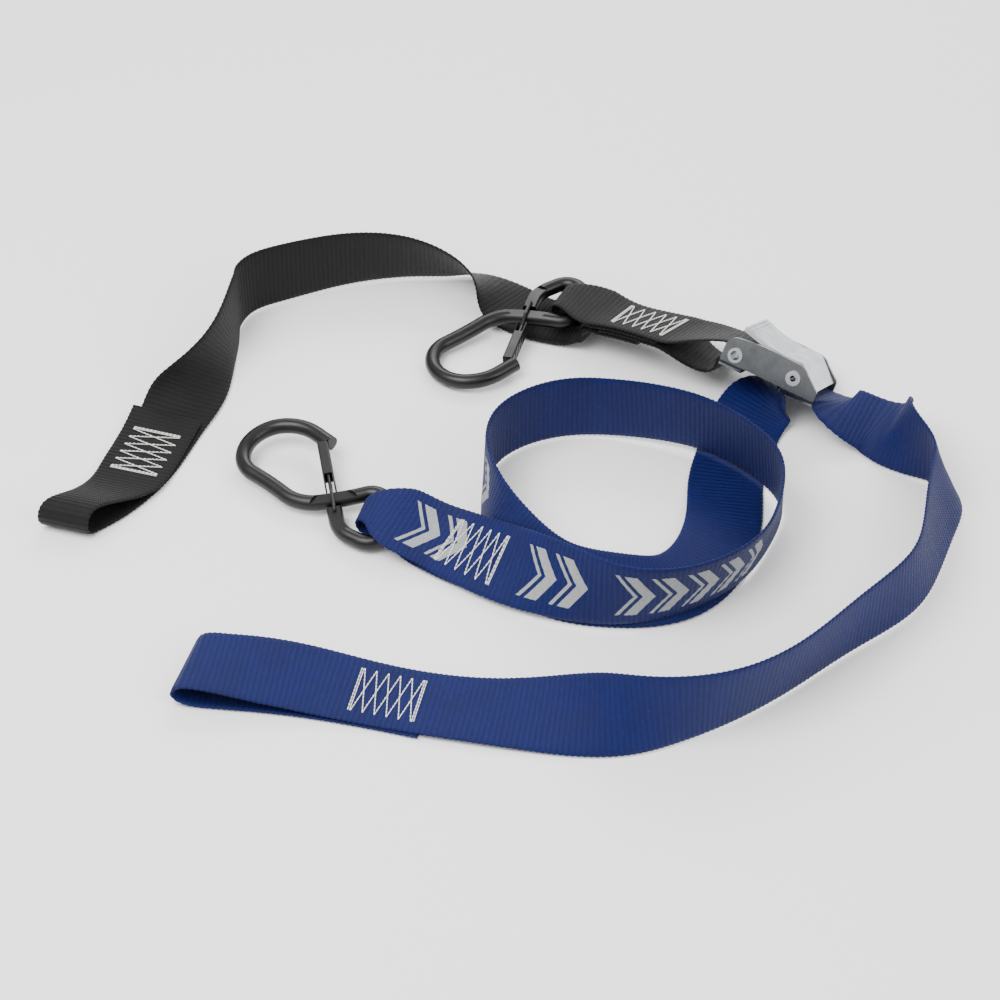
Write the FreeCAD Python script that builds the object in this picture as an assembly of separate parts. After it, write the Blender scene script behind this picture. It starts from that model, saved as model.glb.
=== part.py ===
"""Cam-buckle tie-down laid loose on a flat surface.

Blue load webbing runs from a handle loop through a cam buckle, round in a wide loop and back to the
eye of a snap hook. Black webbing joins the buckle's anchor bar to the second hook and carries a soft
loop. Millimetres, +Z up, the surface it lies on is Z = 0.
"""
import FreeCAD, Part
import math
import os

V = FreeCAD.Vector

# ---- driving dimensions -------------------------------------------------------------------------
WEB_HALF = 19.0           # half of the 38 mm webbing width
WEB_THICK = 1.6
PLY_STEP = 1.85           # centre to centre of webbing plies that are sewn together
WEB_SPACING = 6.0         # distance between cross sections along a free run of webbing
THREAD_WIDE = 0.9
THREAD_THICK = 0.5
THREAD_LIFT = 0.35        # clearance of the thread above the webbing face

ROD_R = 4.0               # hook rod radius
ROD_FLAT = 2.8            # half thickness where the rod is pressed flat for the gate wire
WIRE_R = 0.9
GATE_LENGTH = 47.0        # pivot to gate tip
SLEEVE_START = 17.0
SLEEVE_WIDE = 5.6
SLEEVE_TALL = 7.4
SHEET = 0.8
CLEAR = 0.3

PLATE = 2.0               # buckle sheet thickness
FRAME_INSIDE = 20.0       # half of the clear width between the buckle's side plates
FRAME_FLOOR = -8.0        # underside of the buckle floor, from the anchor bar's axis
PIVOT_U = 32.3
PIVOT_N = 2.0
ANCHOR_R = 3.2
PIVOT_R = 2.5
CAM_R = 5.9
LEVER_HALF = 19.2
LAYOUT_SHIFT = V(-1.2, -5.71, 0.27)  # brings the bottom centre of the whole layout to the origin
WRAP_R = 4.2              # webbing centre line round the anchor bar
BASE_WRAP_R = 1.95        # webbing centre line round the rear edge of the buckle's front floor


# ---- frames -------------------------------------------------------------------------------------
class Frame:
    """A placed set of axes: a, b and c are its local directions."""

    def __init__(self, origin, yaw, pitch, roll):
        self.rotation = FreeCAD.Rotation(yaw, pitch, roll)
        self.origin = V(*origin)
        self.a = self.rotation.multVec(V(1, 0, 0))
        self.b = self.rotation.multVec(V(0, 1, 0))
        self.c = self.rotation.multVec(V(0, 0, 1))

    def at(self, a, b, c):
        return self.origin + self.a * a + self.b * b + self.c * c

    def place(self, shape):
        placed = shape.copy()
        placed.Placement = FreeCAD.Placement(self.origin, self.rotation).multiply(placed.Placement)
        return placed


# buckle: a points forward to the tail's exit, b away across the buckle, c out of its open side
BUCKLE = Frame((128.5, 90.5, 24.5), -29.0, 9.0, -28.5)
# hooks: a runs from the bow to the eye, b to the gate side, c is the normal of the hook's plane
HOOK_A = Frame((-32.5, 119.0, 5.2), 32.5, -5.0, 179.0)
HOOK_B = Frame((-127.5, 15.5, 6.5), -38.5, 0.7, 9.0)


# ---- webbing ------------------------------------------------------------------------------------
def spline(values, count):
    """Uniform cubic B-spline with mirrored ends, so that it starts and stops on its end values."""
    first = values[0] * 2 - values[1]
    last = values[-1] * 2 - values[-2]
    poles = [first] + list(values) + [last]
    spans = len(poles) - 3
    found = []
    for k in range(count):
        t = spans * k / (count - 1)
        i = min(int(t), spans - 1)
        f = t - i
        weights = ((1 - f) ** 3, 3 * f ** 3 - 6 * f * f + 4, -3 * f ** 3 + 3 * f * f + 3 * f + 1, f ** 3)
        total = V(0, 0, 0)
        for weight, pole in zip(weights, poles[i:i + 4]):
            total += pole * (weight / 6.0)
        found.append(total)
    return found


def tangent(points, i):
    before = points[max(i - 1, 0)]
    after = points[min(i + 1, len(points) - 1)]
    return (after - before).normalize()


def width_direction(points, i, lean):
    """Direction across the webbing: lean 0 stands on edge, 90 lies flat, or an explicit vector."""
    if isinstance(lean, (tuple, list)):
        return V(*lean).normalize()
    along = tangent(points, i)
    left = V(0, 0, 1).cross(along).normalize()
    top = along.cross(left)
    angle = math.radians(lean)
    return top * math.cos(angle) + left * math.sin(angle)


def course(rows, spacing=WEB_SPACING, skewed=False):
    """Cross sections (centre, across, half width) along a free run given by a few stations."""
    points = [V(*row[:3]) for row in rows]
    across = [width_direction(points, i, row[3]) for i, row in enumerate(rows)]
    halves = [V(row[4] if len(row) > 4 else WEB_HALF, 0, 0) for row in rows]
    length = sum((points[i + 1] - points[i]).Length for i in range(len(points) - 1))
    count = max(5, int(length / spacing) + 1)
    centres = spline(points, count)
    widths = spline(across, count)
    halves = spline(halves, count)
    sections = []
    for i, centre in enumerate(centres):
        wide = widths[i]
        if not skewed:
            along = tangent(centres, i)
            wide = wide - along * wide.dot(along)
        sections.append((centre, wide.normalize(), halves[i].x))
    return sections


def wrap(centre, out, forward, across, radius, start, stop, steps=9):
    """Sections round a bar: the angle turns from the direction `out` towards `forward`."""
    sections = []
    for k in range(steps):
        angle = math.radians(start + (stop - start) * k / (steps - 1))
        point = centre + out * (radius * math.cos(angle)) + forward * (radius * math.sin(angle))
        sections.append((point, across, WEB_HALF))
    return sections


def offset(sections, distance):
    """The same run moved along its face normal."""
    centres = [s[0] for s in sections]
    moved = []
    for i, (centre, wide, half) in enumerate(sections):
        normal = tangent(centres, i).cross(wide).normalize()
        moved.append((centre + normal * distance, wide, half))
    return moved


def stations(sections):
    """Sections written again as course rows."""
    return [(c.x, c.y, c.z, (w.x, w.y, w.z), h) for c, w, h in sections]


def mesh_solid(rings):
    """Closed solid through a row of four-cornered rings."""
    points = [tuple(p) for ring in rings for p in ring]
    facets = []
    for k in range(len(rings) - 1):
        for j in range(4):
            a, b = 4 * k + j, 4 * k + (j + 1) % 4
            facets.append((a, b, b + 4))
            facets.append((a, b + 4, a + 4))
    last = 4 * (len(rings) - 1)
    facets += [(0, 2, 1), (0, 3, 2), (last, last + 1, last + 2), (last, last + 2, last + 3)]
    shape = Part.Shape()
    vertices = [V(*p) for p in points]
    shape.makeShapeFromMesh((vertices, facets), 0.0001)
    solid = Part.Solid(shape)
    if solid.Volume < 0:
        solid.reverse()
    return solid


def strap(sections, thick=WEB_THICK, lift=0.0):
    """Flat band of the given thickness; lift moves it along the face normal."""
    centres = [s[0] for s in sections]
    rings = []
    for i, (centre, wide, half) in enumerate(sections):
        normal = tangent(centres, i).cross(wide).normalize()
        middle = centre + normal * lift
        side = wide * half
        up = normal * (thick / 2)
        rings.append([middle + side + up, middle - side + up, middle - side - up, middle + side - up])
    return mesh_solid(rings)


def run_length(sections):
    return sum((sections[i + 1][0] - sections[i][0]).Length for i in range(len(sections) - 1))


# ---- stitching ----------------------------------------------------------------------------------
def on_strap(sections, distance, side):
    """Point, normal on a strap at a distance along it and a fraction of its half width."""
    walked = 0.0
    centres = [s[0] for s in sections]
    for i in range(len(sections) - 1):
        step = (centres[i + 1] - centres[i]).Length
        if walked + step >= distance:
            f = (distance - walked) / step
            centre = centres[i] * (1 - f) + centres[i + 1] * f
            wide = (sections[i][1] * (1 - f) + sections[i + 1][1] * f).normalize()
            half = sections[i][2] * (1 - f) + sections[i + 1][2] * f
            normal = (centres[i + 1] - centres[i]).normalize().cross(wide).normalize()
            return centre + wide * (half * side), normal
        walked += step
    return centres[-1], V(0, 0, 1)


def thread(sections, start, stop, face):
    """One straight line of thread on a strap face, from (distance, side) to (distance, side)."""
    rings = []
    pieces = 11
    found = []
    for k in range(pieces):
        f = k / (pieces - 1)
        distance = start[0] * (1 - f) + stop[0] * f
        side = start[1] * (1 - f) + stop[1] * f
        found.append(on_strap(sections, distance, side))
    line = [point for point, _ in found]
    for i, (point, normal) in enumerate(found):
        across = normal.cross(tangent(line, i)).normalize() * (THREAD_WIDE / 2)
        low = point + normal * (face * (WEB_THICK / 2 + THREAD_LIFT))
        high = low + normal * (face * THREAD_THICK)
        rings.append([low + across, low - across, high - across, high + across])
    return mesh_solid(rings)


def box_stitch(sections, start, length, face=1, reach=0.68, crossings=5):
    """Two end bars joined by two crossing zigzags, as separate threads of one group."""
    threads = []
    inset = 2.2
    for end in (0.0, length):
        threads.append(thread(sections, (start + end, -reach), (start + end, reach), face))
    pitch = (length - 2 * inset) / crossings
    for k in range(crossings):
        left = start + inset + k * pitch
        threads.append(thread(sections, (left, reach), (left + pitch * 0.42, -reach), face))
        threads.append(thread(sections, (left + pitch * 0.58, -reach), (left + pitch * 0.95, reach), face))
    return Part.makeCompound(threads)


# ---- webbing runs -------------------------------------------------------------------------------
# Rows are x, y, z, lean (or the direction across the webbing) and, where it narrows, the half width.
ACROSS = tuple(BUCKLE.b)
EXIT_LEVEL = FRAME_FLOOR + PLATE / 2 + BASE_WRAP_R
BASE_EDGE = BUCKLE.at(28.0, 0, FRAME_FLOOR + PLATE / 2)
BASE_START = 15.0         # degrees past straight down where the load webbing meets the base edge
HANDLE_FOLD = (0.27, 0.96, 0.0)
SEWN = (0.38, 0.89, -0.27)
SOFT_LOOP = (-0.955, 0.297, 0.0)


def buckle_row(a, c):
    point = BUCKLE.at(a, 0, c)
    return (point.x, point.y, point.z, ACROSS)


def tail_run():
    """Out of the buckle, across the front to the handle loop and back under itself."""
    return course([
        buckle_row(28.0, EXIT_LEVEL), buckle_row(36.0, EXIT_LEVEL), buckle_row(44.0, EXIT_LEVEL),
        buckle_row(52.0, EXIT_LEVEL), (175, 57.5, 11.5, 89), (193, 52, 4.5, 77), (199.5, 43, 10.5, 55),
        (198, 36, 17.3, 29), (205, 20.5, 20.4, 6), (218, 7, 20, -16), (222.5, -6.5, 19.6, -32), (215.5, -25, 19.6, -25),
        (207, -55.5, 19.3, -16), (196.5, -84, 20.4, -6), (164.5, -109.5, 20.3, 4),
        (135.5, -139, 19.9, 11), (105, -159.5, 20.2, 8), (71, -169, 20.2, -10), (47, -165, 15.8, -40),
        (26, -158, 9, -65), (-2, -152, 4.5, -84), (-34, -145.5, 2.9, -88), (-64, -138, 3.6, -86),
        (-90, -132.5, 7.2, (0.2, 0.96, 0.16)), (-113, -130, 10.8, (0.22, 0.96, 0.12)),
        (-130, -128, 12.4, HANDLE_FOLD), (-142, -126, 12.8, HANDLE_FOLD), (-147.5, -125, 6.4, HANDLE_FOLD),
        (-140, -126.4, 1, HANDLE_FOLD), (-127, -128, 1, HANDLE_FOLD), (-112, -129.5, 1, 90),
        (-90, -132.5, 1, 90), (-63, -138.5, 1, 90), (-32.5, -147, 1, 90)])


def base_turn():
    """Half turn of the load webbing round the rear edge of the buckle's front floor."""
    return wrap(BASE_EDGE, BUCKLE.a * -1, BUCKLE.c, BUCKLE.b, BASE_WRAP_R, 90, -BASE_START, 8)


def strand_run():
    """From under the buckle, round the standing loop and flat to hook B's eye and back."""
    entry = base_turn()[-1][0]
    turn = math.radians(BASE_START)
    below = entry + (BUCKLE.a * math.sin(turn) - BUCKLE.c * math.cos(turn)) * 4.5
    fold = (0.3, 0.95, 0.1)
    return course([
        (entry.x, entry.y, entry.z, ACROSS), (below.x, below.y, below.z, (0.36, 0.85, -0.38)),
        (137, 73, 8.6, -77), (125.5, 54, 4.2, -78), (120, 36, 1.5, -90), (112.5, 13.5, 1.1, -91),
        (112, -16.5, 2.2, -86), (103, -51, 5.5, -80), (84, -74.5, 6.5, -75), (54, -77, 9.8, -62),
        (21, -73, 12, -55), (-1, -45, 18, -40), (-5, -22.5, 19.2, -10), (-9.5, 9.5, 20.6, 0),
        (1.5, 35.5, 20, -2), (29.5, 50.5, 19.9, 0), (56, 50, 19.9, -2), (84.5, 41.5, 22.6, -4),
        (108.5, 30.5, 23, -6), (129, 9.5, 22.6, -7), (141, -12, 23, -6), (134, -37, 19.6, 7),
        (120.5, -69.5, 21.2, 17), (89, -91, 21.8, 15), (57.5, -96, 22, 4), (28.5, -82, 21, -23),
        (1.5, -64, 15.3, -52), (-22, -42, 9.2, (0.42, 0.85, 0.3)), (-33, -36, 9.8, (0.31, 0.93, 0.22)),
        (-43, -32, 12.8, (0.3, 0.92, 0.27)), (-52, -28, 15.4, (0.3, 0.92, 0.27), 18.5),
        (-61, -22, 15.9, (0.38, 0.9, 0.2), 11), (-69.5, -19, 11, (0.3, 0.95, 0.1), 7.5),
        (-67.5, -19.5, 2.6, fold, 7.5), (-59, -22, 1.1, fold, 8), (-51.5, -25, 2.0, (0.3, 0.95, 0.06), 8.5),
        (-42.5, -31, 3.2, (0.3, 0.93, 0.2), 13.5), (-33, -37.5, 6.6, (0.31, 0.93, 0.22), 17),
        (-22, -44.5, 6.9, (0.42, 0.86, 0.27), 17.5), (-12, -51.5, 9.2, (0.4, 0.78, 0.42), 17.5)])


# top ply of the black webbing, from hook A's eye over the sewn stack to the anchor bar
STACK_ROWS = [(50, 136.5, 19.6, 92), (64.5, 128.5, 18.6, SEWN), (79, 120.5, 20.2, SEWN),
              (92, 111, 22.9, 101)]
ANCHOR_TOP = (*BUCKLE.at(0, 0, WRAP_R), ACROSS)


def stack_ply(level, trim_hook=0, trim_buckle=0):
    """Exact parallel ply under the top one, from the hook end towards the buckle."""
    sections = offset(course(STACK_ROWS, spacing=4.0), -PLY_STEP * level)
    return sections[trim_hook:len(sections) - trim_buckle]


def lead(sections, reach=7.0):
    """Rows that bring a free run smoothly onto the first of some fixed sections."""
    centre, wide, half = sections[0]
    along = (sections[1][0] - centre).normalize()
    before = centre - along * reach
    return stations([(before, wide, half), (centre, wide, half)])


def reverse(sections, side=1):
    """The same ply travelled the other way; side -1 names its other edge as the leading one."""
    return [(centre, wide * side, half) for centre, wide, half in sections[::-1]]


def anchor_run():
    """The whole black anchor webbing, from its sewn end through both bends to its other end."""
    eye = (0.44, 0.89, 0.03)
    back, top = reverse(stack_ply(1, trim_hook=2)), stack_ply(0, trim_hook=1)
    eye_turn = course(lead(back[::-1])[::-1] + [
        (50.5, 141, 6.6, (0.45, 0.89, -0.05), 12), (41, 149, 5.0, eye, 8.5), (31, 150.5, 8.2, eye, 8.5),
        (31.5, 149.5, 17.5, eye, 9), (40, 143, 20.6, (0.46, 0.88, -0.04), 13.5)] + lead(top),
        spacing=4.0, skewed=True)
    rise = course(lead(top[::-1])[::-1] + [
        (103.5, 104.2, 26.2, (0.375, 0.87, -0.32)), (113.8, 99.0, 28.9, (0.37, 0.84, -0.4)),
        (122.2, 96.3, 29.6, ACROSS), ANCHOR_TOP])
    bar = wrap(BUCKLE.origin, BUCKLE.c, BUCKLE.a, BUCKLE.b, WRAP_R, 0, 180, 11)
    low = reverse(stack_ply(2, trim_hook=3, trim_buckle=1))
    lower = course([(*BUCKLE.at(0, 0, -WRAP_R), ACROSS), buckle_row(-5, -4.6), buckle_row(-10, -5.2),
                    (118.5, 96, 10.5, ACROSS), (113.5, 100, 7.6, (0.37, 0.84, -0.36)),
                    (104, 106, 10, SEWN)] + lead(low), spacing=4.0, skewed=True)
    return back + eye_turn[1:-1] + top + rise[1:-1] + bar + lower[1:-1] + low


def soft_loop_run():
    """Black webbing sewn under the stack, past hook A and out to the rolled soft loop."""
    sewn = reverse(stack_ply(3, trim_hook=3, trim_buckle=3), -1)
    free = course(lead(sewn[::-1])[::-1] + [
        (53.5, 134.5, 7, (-0.38, -0.89, 0.2)), (46, 139, 3.0, (-0.45, -0.89, 0.03)), (37, 142.5, 1.7, 90),
        (25, 146, 1.5, 90), (13, 153, 1.5, 90), (2, 162.5, 2.2, 90), (-9, 172, 11.3, 58),
        (-25.5, 176, 17.1, 34), (-45.5, 181, 19.2, 21), (-66.5, 181.5, 19.8, 12), (-88, 177.5, 20, 6),
        (-107, 170.5, 19.6, 2), (-122, 163.5, 20, 0), (-134.5, 157, 20, 0), (-140.5, 146, 20, -2),
        (-141, 139, 20, (0, 0, 1))])
    ring = SOFT_LOOP
    loop = course([(-141, 139, 20, (0, 0, 1)), (-141.5, 132, 20, (-0.05, -0.1, 0.99)),
                   (-143, 116, 19, (-0.15, -0.35, 0.9)), (-147.5, 100, 16.8, (-0.35, -0.5, 0.78)),
                   (-155.5, 86, 12.6, (-0.68, -0.35, 0.55)), (-163, 75, 7.8, (-0.88, 0.1, 0.3)),
                   (-168.5, 64, 1.4, ring), (-172, 55, 1, ring), (-175, 46, 1, ring),
                   (-180, 31, 1, ring), (-185.5, 15.5, 1, ring, 18), (-193.5, 0, 1, ring, 16),
                   (-201.5, -12.5, 1.2, ring, 14), (-211, -20.5, 0.9, ring, 13.5), (-214.5, -26.5, 3.5, ring, 13.5),
                   (-214.5, -26.5, 11.7, ring, 13.5), (-211.5, -20.5, 15.8, ring, 13), (-203, -12.5, 12.5, ring, 12.5),
                   (-194.5, -1, 6, ring, 15.5), (-187.5, 10, 2.9, ring, 18), (-184, 21, 2.85, ring),
                   (-180, 34, 2.85, ring), (-175.5, 49, 3.4, ring), (-172, 62, 5.2, (-0.95, 0.3, 0.06))],
                  spacing=4.0, skewed=True)
    return sewn + free[1:] + loop[1:]


# ---- rods ---------------------------------------------------------------------------------------
def rounded_path(points, share=0.49):
    """Straight runs joined by tangent arcs, each as large as its shorter neighbouring run allows."""
    edges = []
    at = points[0]
    for before, corner, after in zip(points, points[1:], points[2:]):
        back, ahead = before - corner, after - corner
        turn = math.pi - back.getAngle(ahead)
        if turn < 0.02:
            continue
        reach = share * min(back.Length, ahead.Length)
        back.normalize()
        ahead.normalize()
        start, stop = corner + back * reach, corner + ahead * reach
        radius = reach / math.tan(turn / 2)
        inward = (back + ahead).normalize()
        middle = corner + inward * (radius / math.cos(turn / 2) - radius)
        if (start - at).Length > 1e-3:
            edges.append(Part.LineSegment(at, start).toShape())
        edges.append(Part.Arc(start, middle, stop).toShape())
        at = stop
    edges.append(Part.LineSegment(at, points[-1]).toShape())
    return Part.Wire(edges)


def rod(points, radius, share=0.49):
    path = rounded_path(points, share)
    circle = Part.Wire(Part.makeCircle(radius, points[0], points[1] - points[0]))
    return path.makePipeShell([circle], True, False)


def block(a, b, c):
    """Box between pairs of limits."""
    return Part.makeBox(a[1] - a[0], b[1] - b[0], c[1] - c[0], V(a[0], b[0], c[0]))


def bar(radius, b_start, b_stop, a=0.0, c=0.0):
    """Cylinder along b."""
    return Part.makeCylinder(radius, b_stop - b_start, V(a, b_start, c), V(0, 1, 0))


# ---- hooks --------------------------------------------------------------------------------------
HOOK_ROUTE = [(24.5, 37.5), (5, 39.5), (-9.5, 30.5), (-13, 14), (-4, 0.5), (16, 0), (38, -3), (54, 12.5),
              (66, 27.5), (79, 20), (88, 5.5), (83, -3.5), (66, -5), (55, 4.5)]
GATE_PIVOT = (57.0, 2.8)
GATE_ANGLE = 138.3        # direction of the closed gate in the hook's plane
PIN_HOLE_R = WIRE_R + 0.05
LEG_HIGH = 4.05           # wire legs over the flattened rod
LEG_LOW = 1.9             # wire legs inside the sleeve


def gate_frame(shape):
    """Move a shape drawn along +X from the pivot to the closed gate's place in the hook."""
    shape.rotate(V(0, 0, 0), V(0, 0, 1), GATE_ANGLE)
    shape.translate(V(GATE_PIVOT[0], GATE_PIVOT[1], 0))
    return shape


def hook_body():
    body = rod([V(a, b, 0) for a, b in HOOK_ROUTE], ROD_R)
    near_pivot = Part.makeCylinder(14.0, 10, V(GATE_PIVOT[0], GATE_PIVOT[1], ROD_FLAT))
    body = body.cut(near_pivot).cut(near_pivot.mirror(V(0, 0, 0), V(0, 0, 1)))
    hole = Part.makeCylinder(PIN_HOLE_R, 20, V(GATE_PIVOT[0], GATE_PIVOT[1], -10))
    seat = gate_frame(block((30, GATE_LENGTH + CLEAR), (-SLEEVE_WIDE / 2 - CLEAR, 10), (-6, 6)))
    return body.cut(hole).cut(seat).Solids[0]


def gate_wire():
    """U of spring wire: both ends turn into the pin hole, both legs straddle the rod."""
    inner, far = 1.0, GATE_LENGTH - 4
    half = [V(0, 0, inner), V(0, 0, LEG_HIGH), V(11, 0, LEG_HIGH), V(SLEEVE_START + 2, 0, LEG_LOW)]
    route = half + [V(far, 0, LEG_LOW), V(far, 0, -LEG_LOW)] + [V(p.x, 0, -p.z) for p in half[::-1]]
    return gate_frame(wire_rod(route))


def wire_rod(route):
    """Wire with the same small bend radius at every corner."""
    bend = 1.25
    edges = []
    at = route[0]
    for before, corner, after in zip(route, route[1:], route[2:]):
        back, ahead = (before - corner).normalize(), (after - corner).normalize()
        turn = math.pi - back.getAngle(ahead)
        reach = bend * math.tan(turn / 2)
        inward = (back + ahead).normalize()
        middle = corner + inward * (bend / math.cos(turn / 2) - bend)
        start, stop = corner + back * reach, corner + ahead * reach
        edges.append(Part.LineSegment(at, start).toShape())
        edges.append(Part.Arc(start, middle, stop).toShape())
        at = stop
    edges.append(Part.LineSegment(at, route[-1]).toShape())
    circle = Part.Wire(Part.makeCircle(WIRE_R, route[0], route[1] - route[0]))
    return Part.Wire(edges).makePipeShell([circle], True, False)


def gate_sleeve():
    """Folded sheet round the wire: closed box at the tip, open above and below near the pivot."""
    wide, tall = SLEEVE_WIDE / 2, SLEEVE_TALL / 2
    outer = block((SLEEVE_START, GATE_LENGTH), (-wide, wide), (-tall, tall))
    edges = [e for e in outer.Edges if abs(e.tangentAt(e.FirstParameter).x) > 0.99]
    outer = outer.makeFillet(1.0, edges)
    inside = block((SLEEVE_START - 1, GATE_LENGTH - SHEET), (-wide + SHEET, wide - SHEET),
                   (-tall + SHEET, tall - SHEET))
    window = block((SLEEVE_START - 1, SLEEVE_START + 8), (-wide + SHEET, wide - SHEET), (-9, 9))
    shape = outer.cut(inside).cut(window)
    for k in range(6):
        groove = block((SLEEVE_START + 9 + 3 * k, SLEEVE_START + 10.2 + 3 * k), (-wide - 1, -wide + 0.3),
                       (-tall + 1, tall - 1))
        shape = shape.cut(groove)
    return gate_frame(shape.Solids[0])


# ---- buckle -------------------------------------------------------------------------------------
FRAME_BACK, FRAME_FRONT = -7.0, 46.5
WINDOW = (5.5, 28.0)
NOTCH_TOP = -4.9


def polygon_prism(corners, b_start, b_stop):
    """Outline of (a, c) corners carried along b."""
    points = [V(a, b_start, c) for a, c in corners]
    face = Part.Face(Part.makePolygon(points + [points[0]]))
    return face.extrude(V(0, b_stop - b_start, 0))


def side_outline():
    """Side plate seen from its side, with rounded rear and front shoulders."""
    corners = [(FRAME_BACK, 3.2), (-0.8, 9.0), (6.6, 9.9), (25, 10.1), (32.6, 9.9), (38.5, 6.8),
               (45.0, 1.4), (FRAME_FRONT, -1.4)]
    p = [V(a, -23, c) for a, c in corners]
    low_front, low_back = V(FRAME_FRONT, -23, FRAME_FLOOR - 1), V(FRAME_BACK, -23, FRAME_FLOOR - 1)
    edges = [Part.Arc(p[0], V(-5.1, -23, 7.2), p[1]).toShape(), Part.Arc(p[1], p[2], p[3]).toShape(),
             Part.LineSegment(p[3], p[4]).toShape(), Part.Arc(p[4], V(36.0, -23, 8.9), p[5]).toShape(),
             Part.LineSegment(p[5], p[6]).toShape(), Part.Arc(p[6], V(46.2, -23, 0.2), p[7]).toShape(),
             Part.LineSegment(p[7], low_front).toShape(), Part.LineSegment(low_front, low_back).toShape(),
             Part.LineSegment(low_back, p[0]).toShape()]
    return Part.Face(Part.Wire(edges)).extrude(V(0, 46, 0))


def buckle_frame():
    out = FRAME_INSIDE + PLATE
    long_edges = lambda s: [e for e in s.Edges if e.BoundBox.ZMax < FRAME_FLOOR + PLATE + 0.1
                            and e.BoundBox.XLength > 40]
    outer = block((-9, 49), (-out, out), (FRAME_FLOOR, 12))
    outer = outer.makeFillet(3.0, long_edges(outer))
    inner = block((-10, 50), (-FRAME_INSIDE, FRAME_INSIDE), (FRAME_FLOOR + PLATE, 14))
    inner = inner.makeFillet(1.0, long_edges(inner))
    frame = outer.cut(inner).common(side_outline())
    frame = frame.cut(block(WINDOW, (-25, 25), (FRAME_FLOOR - 1, NOTCH_TOP)))
    frame = frame.fuse(bar(PLATE / 2, -FRAME_INSIDE + 0.5, FRAME_INSIDE - 0.5, WINDOW[1],
                           FRAME_FLOOR + PLATE / 2))
    frame = frame.cut(bar(ANCHOR_R + 0.02, -25, 25)).cut(bar(PIVOT_R + 0.02, -25, 25, PIVOT_U, PIVOT_N))
    return frame.removeSplitter().Solids[0]


def hollow_rivet(radius, hole, flange, a=0.0, c=0.0):
    out = FRAME_INSIDE + PLATE
    head = 0.8
    tube = bar(radius, -out, out, a, c)
    for start in (-out - head, out):
        tube = tube.fuse(bar(flange, start, start + head, a, c))
    tube = tube.cut(bar(hole, -out - 2, out + 2, a, c))
    return tube.removeSplitter().Solids[0]


LEVER_TOP = [(-1, 15), (13.5, 11.3), (23.5, 10.2), (33, 10.8), (36.2, 8.4), (45.3, -0.4)]
LEVER_UNDER = [(44.0, -1.8), (35.2, 6.4), (32.4, 8.7), (23.5, 8.2), (13.1, 9.3), (-1.5, 13.0)]


def cam_lever():
    plate = polygon_prism(LEVER_TOP + LEVER_UNDER, -LEVER_HALF, LEVER_HALF)
    for k in range(3):
        plate = plate.fuse(bar(0.7, -LEVER_HALF, LEVER_HALF, -0.4 + 2.0 * k, 14.9 - 0.51 * k))
    for start in (-LEVER_HALF, LEVER_HALF - PLATE):
        ear = bar(5.2, start, start + PLATE, PIVOT_U, PIVOT_N)
        web = polygon_prism([(27.3, 3), (27.3, 9.2), (32.4, 9.5), (35.4, 7), (37.2, 4.8), (37.4, 3)],
                            start, start + PLATE)
        plate = plate.fuse(ear).fuse(web)
    plate = plate.cut(bar(PIVOT_R + 0.05, -25, 25, PIVOT_U, PIVOT_N))
    return plate.removeSplitter().Solids[0]


def cam_block():
    """Toothed cam between the lever's ears, on the pivot."""
    start, stop = -16.8, 10.4
    hub = 4.6
    teeth = 5
    outline = [V(PIVOT_U - hub, start, PIVOT_N), V(PIVOT_U - hub * 0.72, start, PIVOT_N - hub * 0.72)]
    for k in range(teeth):
        tip = math.radians(-91 + 11 * k)
        root = math.radians(-84 + 11 * k)
        outline.append(V(PIVOT_U + CAM_R * math.cos(tip), start, PIVOT_N + CAM_R * math.sin(tip)))
        outline.append(V(PIVOT_U + (CAM_R - 1) * math.cos(root), start,
                         PIVOT_N + (CAM_R - 1) * math.sin(root)))
    outline.append(V(PIVOT_U + hub, start, PIVOT_N))
    outline.append(V(PIVOT_U, start, PIVOT_N + hub))
    face = Part.Face(Part.makePolygon(outline + [outline[0]]))
    cam = face.extrude(V(0, stop - start, 0)).fuse(bar(hub, start, stop, PIVOT_U, PIVOT_N))
    cam = cam.cut(bar(PIVOT_R + 0.05, start - 1, stop + 1, PIVOT_U, PIVOT_N))
    return cam.removeSplitter().Solids[0]


def cam_spring():
    """Torsion coil of square wire on the pivot beside the cam."""
    coil_r, half_wire, pitch, turns, steps = 3.4, 0.35, 1.15, 4, 20
    side = V(0, half_wire, 0)
    rings = []
    for k in range(turns * steps + 1):
        angle = 2 * math.pi * k / steps
        out = V(math.cos(angle), 0, math.sin(angle))
        centre = V(PIVOT_U, 11.3 + pitch * k / steps, PIVOT_N) + out * coil_r
        outer, inner = centre + out * half_wire, centre - out * half_wire
        rings.append([outer + side, inner + side, inner - side, outer - side])
    return mesh_solid(rings)


# ---- nodes --------------------------------------------------------------------------------------
def distance_to(sections, point):
    """Distance along a run of the section nearest to a point."""
    nearest = min(range(len(sections)), key=lambda i: (sections[i][0] - point).Length)
    return run_length(sections[:nearest + 1])


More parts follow.
